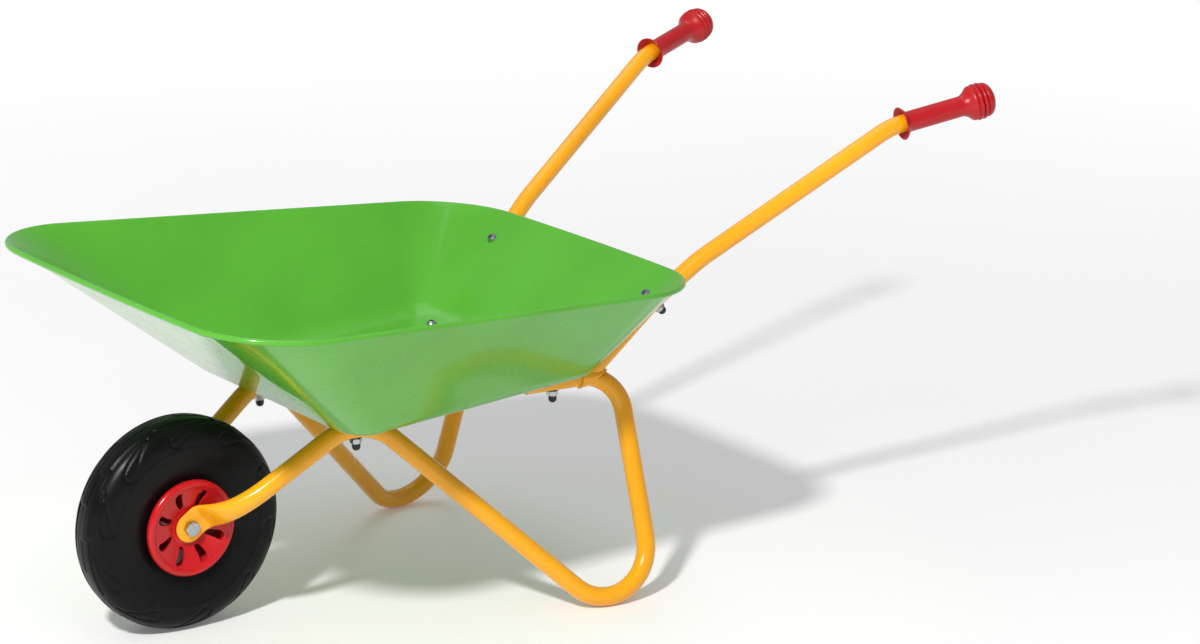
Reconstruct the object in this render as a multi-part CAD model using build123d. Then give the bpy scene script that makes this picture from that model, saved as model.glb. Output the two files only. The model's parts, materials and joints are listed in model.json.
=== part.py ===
from build123d import *
import os
from math import sin, cos, atan2, radians, pi, sqrt

# A child's steel wheelbarrow: a pressed tray on two bent handle tubes and two
# bent leg tubes, whose flattened front ends carry one moulded wheel.
# Millimetres.  Written with the axle at y = 0 and the ground at z = 0, then
# shifted along y so that the origin is under the middle of the whole object.
# +Y points back to the handles, +Z up, +X to the left-hand side of the user.

os.makedirs("parts", exist_ok=True)

# ---------------------------------------------------------------- sizes
# wheel
wheel_d = 200.0
tyre_w = 50.0
tyre_wall = 4.0
tyre_bead_w = 19.2          # half distance over the two beads
hub_lip_r = 4.0             # radius of the rolled lip's section
hub_lip_d = 83.0            # diameter on the lip's centre line
hub_lip_x = 24.0            # lip's centre plane from the middle of the wheel
hub_drum_d = 82.0
hub_wall = 2.5
hub_face_x = 19.4           # flat face round the bore
hub_face_d = 34.0
hub_boss_d = 26.0
hub_slots = 8
slot_inner_r = 19.2         # ring of vent slots, inner and outer ends
slot_outer_r = 36.8
slot_inner_w = 3.4
slot_outer_w = 6.6
bush_wall = 2.0
bush_flange = 1.0
bush_flange_d = 22.0
bush_l = 14.7               # in the hub, under the flange
sleeve_d = 12.0
axle_d = 8.0
axle_head_af = 13.0
axle_head_h = 5.3
axle_nut_h = 8.0
axle_washer_d = 16.0
axle_washer_t = 1.6
axle_tail = 2.0             # bolt showing past the nut

# tubes
handle_tube_d = 17.0
leg_tube_d = 18.0
tube_wall = 1.5
fork_plate_t = 2 * tube_wall
apex_bend_r = 50.0
foot_bend_r = 48.0
leg_top_bend_r = 40.0
grip_bend_r = 80.0
soft_bend_r = 150.0         # slight bends behind the tray

# tray
sheet_t = 1.2
bead_r = 2.7                # rolled edge
rim_front_y = -73.2         # from the axle, negative is in front of it
rim_front_z = 328.9
rim_front_half_w = 242.5
rim_front_bow = 6.5
rim_rear_y = 455.2
rim_rear_z = 301.5
rim_rear_half_w = 201.0
rim_rear_bow = 7.8
rim_front_corner_r = 84.0
rim_rear_corner_r = 80.0
floor_front_y = 106.0
floor_rear_y = 376.0
floor_front_z = 193.6       # underside, where the front wall would meet it
floor_rise = 0.071          # slope of the floor, up towards the back
floor_front_half_w = 141.0
floor_rear_half_w = 137.0
floor_corner_r = 32.0
floor_bend_r = 30.0

# frame
splay = 0.2855              # outward x for each unit of y, both handle tubes
floor_bolt_front_y = 142.0
floor_bolt_rear_y = 348.0
floor_bolt_rear_x = 98.5
wall_bolt_up = 0.76         # place of the wall bolts, share of the wall's height
apex_x = 82.5
foot_x = 203.0
leg_rear_gap = 38.0         # leg's rear strut behind the floor's rear edge
leg_top_x = 113.5
grip_bend_y = 675.6
grip_bend_z = 428.2
grip_angle = 12.7
handle_front_end = 26.0     # tube running on past the rear floor bolt
bend_past_bead = 28.0       # slight bend of the handle behind the rolled edge
fork_low_x = 51.0           # leg's line where it passes over the axle
fork_low_up = 1.0

# grips
grip_to_flange = 13.6       # flange from the bend's corner
grip_flange_d = 32.0
grip_body_d = 20.0
grip_body_l = 62.0
grip_knob_d = 36.8
grip_l = 96.0
tube_in_knob = 6.0          # tube's end past the grip's plain part
grip_wall = 1.5             # moulding left at the mouth of the cup
grip_ring_r = 1.5           # radius of a ring's section
grip_ring_pitch = 5.0

# tray fasteners
bolt_d = 6.0
bolt_head_d = 10.5
bolt_head_h = 3.3
bolt_tail = 8.0             # bolt past the tube, inside its nut and cap
nut_af = 10.0
nut_h = 5.0
nut_cap_d = 8.0
nut_cap_h = 7.0
socket_af = 4.0
socket_depth = 2.0

# clearances
hole_gap = 0.25             # bolt in its holes, radial
thread_gap = 0.03           # nut on its bolt, radial
run_gap = 0.05              # bush on sleeve, radial
side_gap = 0.4              # bush flange to fork plate
seat_gap = 0.1              # tube under tray
nut_gap = 0.03              # nut or bolt head on a bent face, at its nearest
hub_gap = 0.1               # tyre on hub, bush in hub
grip_gap = 0.02

# ------------------------------------------------------ derived places
wheel_r = wheel_d / 2
leg_r = leg_tube_d / 2
handle_r = handle_tube_d / 2
plate_in_x = hub_face_x + bush_flange + side_gap
plate_x = plate_in_x + fork_plate_t / 2
plate_out_x = plate_in_x + fork_plate_t
plate_w = pi * leg_tube_d / 2 - 0.3
axle = Vector(0, 0, wheel_r)
X_AXIS = Vector(1, 0, 0)
rim_fall = (rim_rear_z - rim_front_z) / (rim_rear_y - rim_front_y)


def floor_z(y):
    """Height of the floor's underside at y."""
    return floor_front_z + floor_rise * (y - floor_front_y)


floor_up = Vector(0, -floor_rise, 1).normalized()
floor_back = Vector(0, 1, floor_rise).normalized()

# ------------------------------------------------------ tray
def rim_outline(inset):
    """The rolled edge's line in its own plane, moved inwards by inset."""
    slope = sqrt(1 + rim_fall * rim_fall)
    length = (rim_rear_y - rim_front_y) * slope
    front = rim_front_half_w
    rear = rim_rear_half_w
    edges = [
        ThreePointArc((-front, 0), (0, -rim_front_bow), (front, 0)),
        Line((front, 0), (rear, length)),
        ThreePointArc((rear, length), (0, length + rim_rear_bow), (-rear, length)),
        Line((-rear, length), (-front, 0)),
    ]
    face = make_face(Wire(edges))
    low = face.vertices().sort_by(Axis.Y)[:2]
    face = fillet(low, rim_front_corner_r)
    high = face.vertices().sort_by(Axis.Y)[-2:]
    face = fillet(high, rim_rear_corner_r)
    if inset > 0:
        face = offset(face, -inset)
    return face


def floor_outline(inset):
    """The floor before its edges are rounded, in the floor's plane."""
    length = (floor_rear_y - floor_front_y) / floor_up.Z
    front = floor_front_half_w
    rear = floor_rear_half_w
    face = make_face(Polyline((-front, 0), (front, 0), (rear, length), (-rear, length), close=True))
    face = fillet(face.vertices(), floor_corner_r)
    if inset > 0:
        face = offset(face, -inset)
    return face


rim_up = Vector(0, -rim_fall, 1).normalized()
rim_plane = Plane(origin=Vector(0, rim_front_y, rim_front_z), z_dir=rim_up, x_dir=X_AXIS)
floor_plane = Plane(origin=Vector(0, floor_front_y, floor_front_z), z_dir=floor_up, x_dir=X_AXIS)
wall_lean = 1.4             # sheet measured level, over its thickness, in a raked wall
floor_lean = 0.4            # shift of the inside corner, over the thickness


def basin(lift, floor_inset, rim_inset, bend):
    """A solid from the floor's outline up to the rolled edge, with rounded foot."""
    low = floor_plane * Pos(0, 0, lift) * floor_outline(floor_inset)
    high = rim_plane * rim_outline(rim_inset)
    body = loft([low, high], ruled=True)
    foot_edges = body.faces().sort_by(Axis.Z)[0].edges()
    return fillet(foot_edges, bend)


outside = basin(0, 0, bead_r - wall_lean * sheet_t, floor_bend_r)
inside = basin(sheet_t, floor_lean * sheet_t, bead_r, floor_bend_r - sheet_t)
bead_line = (rim_plane * rim_outline(0)).face().outer_wire()
bead_start = Plane(origin=bead_line @ 0, z_dir=bead_line % 0)
bead = sweep(bead_start * Circle(bead_r), path=bead_line)
tray = (outside + bead) - inside


def entry(solid, plane, x, y, low, high):
    """Height over a plane where the line up from low, at x and y, enters the solid."""
    body = solid.solid()
    for _ in range(26):
        middle = (low + high) / 2
        if body.is_inside(plane.from_local_coords(Vector(x, y, middle))):
            high = middle
        else:
            low = middle
    return (low + high) / 2


def ring_entries(solid, plane, r, low, high):
    """Entry heights on a ring of radius r, where a head's or nut's edge lies."""
    steps = 16
    angles = [2 * pi * k / steps for k in range(steps)]
    return [entry(solid, plane, r * cos(a), r * sin(a), low, high) for a in angles]


# The rear wall's outside, in side view at the bolts, runs from the floor's
# rear corner up to the rolled edge.
wall_bolt_x = floor_bolt_rear_x + splay * (rim_rear_y - 18 - floor_bolt_rear_y)
bow_share = 1 - (wall_bolt_x / rim_rear_half_w) ** 2
bead_at_tube = Vector(0, rim_rear_y + rim_rear_bow * bow_share, rim_rear_z)
wall_foot = Vector(0, floor_rear_y, floor_z(floor_rear_y))
wall_top = bead_at_tube - Vector(0, bead_r, 0)
wall_up = (wall_top - wall_foot).normalized()
wall_out = Vector(0, wall_up.Z, -wall_up.Y)
wall_bolt_foot = wall_foot + (wall_top - wall_foot) * wall_bolt_up
wall_bolt_plane = Plane(
    origin=Vector(wall_bolt_x, wall_bolt_foot.Y, wall_bolt_foot.Z),
    z_dir=wall_out * -1,
    x_dir=X_AXIS,
)
wall_skin = entry(outside, wall_bolt_plane, 0, 0, -handle_tube_d, handle_tube_d)
tube_off_wall = handle_r + seat_gap - wall_skin


def handle_x(y):
    """The handle tubes each lie in one upright plane, splayed outwards."""
    return floor_bolt_rear_x + splay * (y - floor_bolt_rear_y)


def in_handle_plane(p):
    return Vector(handle_x(p.Y), p.Y, p.Z)


def meet(p, d, q, e):
    """Where the side-view lines p + s d and q + t e cross."""
    cross = d.Y * e.Z - d.Z * e.Y
    s = ((q.Y - p.Y) * e.Z - (q.Z - p.Z) * e.Y) / cross
    return p + d * s


# ------------------------------------------------------ handle tube route
under_floor = Vector(0, floor_rear_y, floor_z(floor_rear_y)) - floor_up * (handle_r + seat_gap)
behind_wall = wall_foot + wall_out * tube_off_wall
handle_corner = meet(under_floor, floor_back, behind_wall, wall_up)
handle_at_bolt = wall_bolt_foot + wall_out * tube_off_wall
bead_clear = bead_r + handle_r + 3 * seat_gap


def tangent_point(p, c, r):
    """Touching point, below and behind, of the line from p to a circle at c."""
    d = c - p
    dist = d.length
    turn = atan2(d.Z, d.Y) - atan2(r, sqrt(dist * dist - r * r))
    reach = sqrt(dist * dist - r * r)
    return p + Vector(0, cos(turn), sin(turn)) * reach


handle_past_bead = tangent_point(handle_at_bolt, bead_at_tube, bead_clear)
bead_dir = (handle_past_bead - handle_at_bolt).normalized()
handle_bend = handle_past_bead + bead_dir * bend_past_bead
grip_bend = Vector(0, grip_bend_y, grip_bend_z)
grip_dir = Vector(0, cos(radians(grip_angle)), sin(radians(grip_angle)))
grip_dir3 = (in_handle_plane(grip_bend + grip_dir) - in_handle_plane(grip_bend)).normalized()
grip_foot = in_handle_plane(grip_bend) + grip_dir3 * grip_to_flange
handle_end = grip_foot + grip_dir3 * (grip_body_l + tube_in_knob)
front_y = floor_bolt_rear_y - handle_front_end
handle_front = Vector(0, front_y, floor_z(front_y)) - floor_up * (handle_r + seat_gap)
floor_wrap_r = floor_bend_r + handle_r + seat_gap

handle_route = [
    handle_end,
    in_handle_plane(grip_bend),
    in_handle_plane(handle_bend),
    in_handle_plane(handle_at_bolt),
    in_handle_plane(handle_corner),
    in_handle_plane(handle_front),
]
handle_radii = [grip_bend_r, soft_bend_r, soft_bend_r, floor_wrap_r]


# ------------------------------------------------------ leg tube route
def arc_reach(p0, p1, p2, r, up):
    """Farthest point, towards up, of the arc of radius r in the corner p1."""
    a = (p0 - p1).normalized()
    b = (p2 - p1).normalized()
    half = a.get_angle(b) / 2
    centre = p1 + (a + b).normalized() * (r / sin(radians(half)))
    normal = a.cross(b).normalized()
    flat = up - normal * up.dot(normal)
    return centre + flat.normalized() * r


leg_rear_y = floor_rear_y + leg_rear_gap
leg_top = Vector(leg_top_x, leg_rear_y, handle_corner.Z)
apex = Vector(apex_x, floor_bolt_front_y + 4, floor_z(floor_bolt_front_y))
foot = Vector(foot_x, leg_rear_y, 0)
fork_low = Vector(fork_low_x, 0, wheel_r + fork_low_up)
for _ in range(40):
    top_of_apex = arc_reach(fork_low, apex, foot, apex_bend_r, floor_up)
    seat = floor_z(top_of_apex.Y) - (leg_r + seat_gap) / floor_up.Z
    apex = apex + Vector(0, 0, seat - top_of_apex.Z)
    bottom = arc_reach(apex, foot, leg_top, foot_bend_r, Vector(0, 0, -1))
    foot = foot + Vector(0, 0, leg_r - bottom.Z)

front_bolt_x = top_of_apex.X
front_bolt_y = top_of_apex.Y
fork_dir = (apex - fork_low).normalized()
flat_dir = Vector(0, fork_dir.Y, fork_dir.Z).normalized()
flatten_from = 0.72 * wheel_r
flatten_to = 9.0            # plate is flat this far from the axle
fork_start = fork_low + fork_dir * flatten_from
plate_start = axle + X_AXIS * plate_x + flat_dir * flatten_to
leg_end_y = leg_rear_y - leg_top_bend_r
leg_end = in_handle_plane(Vector(0, leg_end_y, handle_corner.Z))
leg_route = [fork_start, apex, foot, leg_top, leg_end]
leg_radii = [apex_bend_r, foot_bend_r, leg_top_bend_r * 0.97]

overall_front = min(-wheel_r, rim_front_y - rim_front_bow - bead_r)
grip_tip = grip_foot + grip_dir3 * grip_l
y_shift = -(overall_front + grip_tip.Y) / 2


def save(shape, name):
    """Write one node, moved to the object's own origin."""
    moved = Pos(0, y_shift, 0) * shape
    moved.label = name
    export_step(moved, "parts/" + name + ".step")
    return moved


def flipped(shape):
    """The same piece for the right-hand side."""
    return mirror(shape, about=Plane.YZ)


def biggest(shape):
    return max(shape.solids(), key=lambda s: s.volume)


# ------------------------------------------------------ round tubes
def route_line(route, radii):
    return FilletPolyline(*route, radius=radii)


def rod(route, radii, r):
    """A round bar of radius r along a bent route."""
    line = route_line(route, radii)
    start = Plane(origin=line @ 0, z_dir=line % 0)
    return sweep(start * Circle(r), path=line)


def bar(p, direction, r, length):
    """A straight round bar from p."""
    return extrude(Plane(origin=p, z_dir=direction) * Circle(r), amount=length)


# ------------------------------------------------------ flattened fork end
def bezier(p0, p1, p2, p3, t):
    s = 1 - t
    return p0 * s**3 + p1 * (3 * s * s * t) + p2 * (3 * s * t * t) + p3 * t**3


def bezier_dir(p0, p1, p2, p3, t):
    s = 1 - t
    d = (p1 - p0) * (s * s) + (p2 - p1) * (2 * s * t) + (p3 - p2) * (t * t)
    return d.normalized()


joggle_hold = 8.0           # how firmly the end keeps the plate's direction
joggle = [
    fork_start,
    fork_start - fork_dir * 0.6 * wheel_r,
    plate_start + flat_dir * joggle_hold,
    plate_start,
]
flatten_steps = 8
press_step = 0.1            # the pressed end starts this much under the round tube
press_lap = 2.0             # and this far inside it
thinnest_bore = 0.6


def pressed(wide, thick, flatness):
    """Closed section of a round tube that is being pressed flat."""
    points = []
    for k in range(16):
        a = 2 * pi * k / 16
        rise = abs(sin(a)) ** (1 - 0.65 * flatness)
        points.append((wide / 2 * cos(a), thick / 2 * (rise if sin(a) > 0 else -rise)))
    return make_face(Spline(*points, periodic=True))


def fork_end(shrink):
    """Round tube pressed flat as it bends in to the wheel; shrink makes the bore."""
    width_dir = X_AXIS.cross(flat_dir)
    inside_tube = leg_tube_d - shrink - 2 * press_step
    start_at = fork_start + fork_dir * press_lap
    start = Plane(origin=start_at, z_dir=fork_dir * -1, x_dir=width_dir)
    sections = [start * pressed(inside_tube, inside_tube, 0)]
    for i in range(flatten_steps + 1):
        t = i / flatten_steps
        u = min(t / 0.9, 1.0)
        ease = u * u * (3 - 2 * u)
        thick = inside_tube - (leg_tube_d - fork_plate_t) * ease
        wide = inside_tube + (plate_w - leg_tube_d) * ease
        if thick < thinnest_bore:
            break
        along = bezier_dir(*joggle, t)
        plane = Plane(origin=bezier(*joggle, t), z_dir=along, x_dir=width_dir)
        sections.append(plane * pressed(wide, thick, ease))
    return loft(sections)


def fork_plate():
    plane = Plane(origin=axle + X_AXIS * plate_in_x, z_dir=X_AXIS, x_dir=flat_dir)
    disc = Circle(plate_w / 2)
    strip = Pos(flatten_to / 2, 0) * Rectangle(flatten_to, plate_w)
    return extrude(plane * (disc + strip), amount=fork_plate_t)


# ------------------------------------------------------ left frame side
floor_bolt_places = [
    (front_bolt_x, front_bolt_y, leg_r),
    (floor_bolt_rear_x, floor_bolt_rear_y, handle_r),
]
hole_r = bolt_d / 2 + hole_gap


def floor_bolt_plane(x, y):
    """Frame of a floor bolt, origin on the floor's underside, z into the tray."""
    return Plane(origin=Vector(x, y, floor_z(y)), z_dir=floor_up, x_dir=X_AXIS)


def drill(plane, r, up, down):
    """A drill along a bolt's axis, from up above its seat to down below it."""
    return plane * Pos(0, 0, (up - down) / 2) * Cylinder(r, up + down)


def bolt_drill(plane):
    """Bolt hole through the sheet and the tube under it."""
    return drill(plane, hole_r, handle_tube_d / 2, 2 * leg_tube_d)


handle_bar = rod(handle_route, handle_radii, handle_r)
handle_bore = rod(handle_route, handle_radii, handle_r - tube_wall)
handle_tube = handle_bar - handle_bore
handle_tube -= bolt_drill(floor_bolt_plane(floor_bolt_rear_x, floor_bolt_rear_y))
handle_tube -= bolt_drill(wall_bolt_plane)

root_gap = 0.4              # left between the two tubes, filled by the weld
leg_bar = rod(leg_route, leg_radii, leg_r)
leg_bore = rod(leg_route, leg_radii, leg_r - tube_wall)
cope_r = max(handle_r, leg_r) + root_gap
cope = rod(handle_route[3:], handle_radii[3:], cope_r)
leg_solid = leg_bar + fork_end(0) + fork_plate()
leg_coped = biggest(leg_solid - cope)
leg_tube = leg_coped - leg_bore - fork_end(2 * tube_wall)
leg_tube -= bar(axle, X_AXIS, axle_d / 2 + hole_gap, 2 * plate_out_x)
leg_tube -= bolt_drill(floor_bolt_plane(front_bolt_x, front_bolt_y))
leg_tube = biggest(leg_tube)

weld_size = 2.6
strut_dir = (foot - leg_top).normalized()
top_route = [leg_top + strut_dir * 50, leg_top, leg_end]
fat_leg = rod(top_route, leg_radii[2:], leg_r + weld_size)
fat_handle = rod(handle_route[3:], handle_radii[3:], handle_r + weld_size)
under_tray = Pos(0, seat_gap, -3 * seat_gap) * outside
weld = (fat_leg & fat_handle) - handle_bar - leg_coped - leg_bore - under_tray
weld = biggest(weld)

save(handle_tube, "handle_tube_left")
save(flipped(handle_tube), "handle_tube_right")
save(leg_tube, "leg_tube_left")
save(flipped(leg_tube), "leg_tube_right")
save(weld, "leg_weld_left")
save(flipped(weld), "leg_weld_right")


# ------------------------------------------------------ tray, drilled
for side in (1, -1):
    for x, y, _r in floor_bolt_places:
        tray -= drill(floor_bolt_plane(side * x, y), hole_r, handle_r, handle_r)
wall_hole = drill(wall_bolt_plane, hole_r, handle_r, handle_r)
tray -= wall_hole
tray -= flipped(wall_hole)
save(tray, "tray")


# ------------------------------------------------------ tray fasteners
def hexagon(af):
    return RegularPolygon(af / 2, 6, major_radius=False)


def button_bolt(seat, grip_length):
    """Round-headed bolt with a hexagon socket; seat is the head's underside."""
    rim_h = 0.6
    flat_r = socket_af * 0.8
    rim_r = bolt_head_d / 2
    dome = ThreePointArc((rim_r, rim_h), (0.76 * rim_r, 0.72 * bolt_head_h), (flat_r, bolt_head_h))
    profile = Polyline((flat_r, bolt_head_h), (0, bolt_head_h), (0, 0), (rim_r, 0), (rim_r, rim_h))
    head = revolve(Plane.XZ * make_face([dome, profile]), Axis.Z)
    head -= Pos(0, 0, bolt_head_h - socket_depth) * extrude(hexagon(socket_af), amount=socket_depth + 1)
    shank = Pos(0, 0, -grip_length / 2) * Cylinder(bolt_d / 2, grip_length)
    shank = chamfer(shank.edges().sort_by(Axis.Z)[0], 0.6)
    return Pos(0, 0, seat) * (head + shank)


def seated_nut(seat):
    """Hexagon nut under the tube, its lower corners turned off to a cone."""
    body = Pos(0, 0, -nut_h) * extrude(hexagon(nut_af), amount=nut_h)
    foot_r = nut_cap_d / 2 + 0.4
    cone = Pos(0, 0, -nut_h / 2) * Cone(foot_r, foot_r + nut_h * 0.9, nut_h)
    bore = Pos(0, 0, -nut_h / 2) * Cylinder(bolt_d / 2 + thread_gap, 2 * nut_h)
    return Pos(0, 0, seat) * ((body & cone) - bore)


def seated_cap(seat, reach):
    """Plastic cap over the bolt's end; reach is how far the bolt enters it."""
    radius = nut_cap_d / 2
    side = nut_cap_h - radius
    half = radius * sqrt(0.5)
    outline = make_face([
        Polyline((0, -nut_cap_h), (0, 0), (radius, 0), (radius, -side)),
        ThreePointArc((radius, -side), (half, -side - half), (0, -nut_cap_h)),
    ])
    body = revolve(Plane.XZ * outline, Axis.Z)
    bore = Pos(0, 0, -reach / 2) * Cylinder(bolt_d / 2 + thread_gap, reach + 0.2)
    return Pos(0, 0, seat) * (body - bore)


def fastener_set(name, plane, head_seat, nut_seat):
    """Bolts, nuts and caps of one pair of places, left and right."""
    bolt = plane * button_bolt(head_seat, head_seat - nut_seat + bolt_tail)
    nut = plane * seated_nut(nut_seat)
    cap = plane * seated_cap(nut_seat - nut_h, bolt_tail - nut_h)
    for piece, kind in ((bolt, "bolts"), (nut, "nuts"), (cap, "nut_caps")):
        save(Compound(children=[piece, flipped(piece)]), name + "_" + kind)


corner_r = nut_af / sqrt(3)
front_plane = floor_bolt_plane(front_bolt_x, front_bolt_y)
rear_plane = floor_bolt_plane(floor_bolt_rear_x, floor_bolt_rear_y)
wall_rest = ring_entries(inside, wall_bolt_plane, bolt_head_d / 2, -handle_r, handle_r)
wall_head = max(wall_rest) + nut_gap
wall_edge = ring_entries(handle_bar, wall_bolt_plane, corner_r, -2 * handle_tube_d, -handle_r)
wall_nut = min(wall_edge) - nut_gap
front_edge = ring_entries(leg_bar, front_plane, corner_r, -2 * leg_tube_d, -leg_r)
front_nut = min(front_edge) - nut_gap
fastener_set("floor_front", front_plane, sheet_t, front_nut)
fastener_set("floor_rear", rear_plane, sheet_t, -seat_gap - handle_tube_d)
fastener_set("rear_wall", wall_bolt_plane, wall_head, wall_nut)

# ------------------------------------------------------ wheel
wheel_at = Pos(0, 0, wheel_r)
drum_r = hub_drum_d / 2
lip_mid_r = hub_lip_d / 2
bush_r = sleeve_d / 2 + run_gap + bush_wall
hub_bore_r = bush_r + grip_gap


def turned(face):
    """Turn a face drawn with x along the axle and y outwards."""
    return wheel_at * revolve(face, Axis.X)


def tyre_curve(inset):
    """Outside of the tyre's section from bead to crown, or its inside by inset."""
    half = tyre_w / 2 - inset
    crown = wheel_r - inset
    bead_x = tyre_bead_w - inset
    foot_r = lip_mid_r + hub_lip_r + 1.0
    swell_r = wheel_r * 0.745
    shoulder = (half * 0.70, crown - (crown - swell_r) * 0.17)
    points = [(bead_x, foot_r), (half, swell_r), shoulder, (0, crown)]
    return Spline(*points, tangents=[(0.35, 1), (-1, 0)])


def tyre_half():
    skin = tyre_curve(0)
    bore = tyre_curve(tyre_wall)
    seat_r = drum_r + hub_gap
    edges = [
        skin,
        Line(skin @ 1, bore @ 1),
        bore,
        Line(bore @ 0, ((bore @ 0).X, seat_r)),
        Line(((bore @ 0).X, seat_r), ((skin @ 0).X, seat_r)),
        Line(((skin @ 0).X, seat_r), skin @ 0),
    ]
    return make_face(Wire(edges))


groove_w = 2.2
groove_deep = 1.3
groove_xs = (0.16 * tyre_w, 0.31 * tyre_w)
tyre = turned(tyre_half())
tyre = tyre + flipped(tyre)
for groove_x in groove_xs:
    fall = groove_x * groove_x / (2.6 * tyre_w)
    ring_r = wheel_r - fall - groove_deep
    ring = Pos(groove_x, ring_r + 5) * Rectangle(groove_w, 10)
    cutter = turned(ring)
    tyre = tyre - cutter - flipped(cutter)
save(tyre, "tyre")


def teardrop(r0, w0, r1, w1):
    """Slot outline along x from r0 to r1, round ends of widths w0 and w1."""
    a = w0 / 2
    b = w1 / 2
    ca = r0 + a
    cb = r1 - b
    lean = (b - a) / (cb - ca)
    up = sqrt(1 - lean * lean)
    side = Polyline(
        (ca - a * lean, a * up),
        (cb - b * lean, b * up),
        (cb - b * lean, -b * up),
        (ca - a * lean, -a * up),
        close=True,
    )
    return make_face(side) + Pos(ca, 0) * Circle(a) + Pos(cb, 0) * Circle(b)


def hub_half():
    """Left half of the wheel's centre: lip, drum, dished web and boss."""
    face_r = hub_face_d / 2
    boss_r = hub_boss_d / 2
    lip = Pos(hub_lip_x, lip_mid_r) * Circle(hub_lip_r)
    drum = Pos(hub_lip_x / 2, drum_r - hub_wall / 2) * Rectangle(hub_lip_x, hub_wall)
    rise_x = hub_lip_x + hub_lip_r * 0.6
    rise_r = lip_mid_r - hub_lip_r * 0.6
    web = make_face(Polyline(
        (hub_face_x, boss_r - 1),
        (hub_face_x, face_r),
        (rise_x, rise_r),
        (rise_x - hub_wall, rise_r),
        (hub_face_x - hub_wall, face_r + 0.6),
        (hub_face_x - hub_wall, boss_r - 1),
        close=True,
    ))
    boss_mid = (boss_r + hub_bore_r) / 2
    boss = Pos(hub_face_x / 2, boss_mid) * Rectangle(hub_face_x, boss_r - hub_bore_r)
    body = turned(lip + drum + web + boss)
    slot = teardrop(slot_inner_r, slot_inner_w, slot_outer_r, slot_outer_w)
    for i in range(hub_slots):
        angle = 360 / hub_slots * (i + 0.5)
        face = Plane.YZ * (Rot(0, 0, angle) * slot)
        cutter = extrude(face, amount=4 * hub_wall)
        body -= wheel_at * Pos(hub_face_x - 2 * hub_wall, 0, 0) * cutter
    return body


hub = hub_half()
save(hub, "hub_left")
save(flipped(hub), "hub_right")

bush_foot = hub_face_x - bush_l
bush_profile = make_face(Polyline(
    (bush_foot, sleeve_d / 2 + run_gap),
    (hub_face_x + bush_flange, sleeve_d / 2 + run_gap),
    (hub_face_x + bush_flange, bush_flange_d / 2),
    (hub_face_x, bush_flange_d / 2),
    (hub_face_x, bush_r),
    (bush_foot, bush_r),
    close=True,
))
bush = turned(bush_profile)
save(bush, "wheel_bush_left")
save(flipped(bush), "wheel_bush_right")


# ------------------------------------------------------ axle
def along_axle(shape, x):
    """Stand a piece drawn along +Z on the axle, its foot at x, pointing to +X."""
    plane = Plane(origin=axle + X_AXIS * x, z_dir=X_AXIS, x_dir=Vector(0, 1, 0))
    return plane * shape


def rounded_hex(af, height):
    """Hexagon head or nut with its outer corners turned off at the top."""
    body = extrude(hexagon(af), amount=height)
    rise = 0.35 * af
    cone = Pos(0, 0, height - rise / 2) * Cone(af / 2 + rise * 1.6, af / 2 * 0.96, rise)
    drum = Pos(0, 0, (height - rise) / 2) * Cylinder(af, height - rise + 0.01)
    return body & (cone + drum)


sleeve = Pos(0, 0, plate_in_x) * Cylinder(sleeve_d / 2, 2 * plate_in_x)
sleeve -= Pos(0, 0, plate_in_x) * Cylinder(axle_d / 2 + hole_gap, 3 * plate_in_x)
save(along_axle(sleeve, -plate_in_x), "axle_sleeve")

nut_out_x = plate_out_x + axle_washer_t + axle_nut_h
shank_l = plate_out_x + nut_out_x + axle_tail
shank = Pos(0, 0, -shank_l / 2) * Cylinder(axle_d / 2, shank_l)
shank = chamfer(shank.edges().sort_by(Axis.Z)[0], 0.8)
axle_bolt = rounded_hex(axle_head_af, axle_head_h) + shank
save(along_axle(axle_bolt, plate_out_x), "axle_bolt")

washer = Pos(0, 0, axle_washer_t / 2) * Cylinder(axle_washer_d / 2, axle_washer_t)
washer -= Cylinder(axle_d / 2 + hole_gap, 10)
save(flipped(along_axle(washer, plate_out_x)), "axle_washer")

axle_nut = rounded_hex(axle_head_af, axle_nut_h)
axle_nut -= Cylinder(axle_d / 2 + thread_gap, 60)
save(flipped(along_axle(axle_nut, plate_out_x + axle_washer_t)), "axle_nut")


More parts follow.
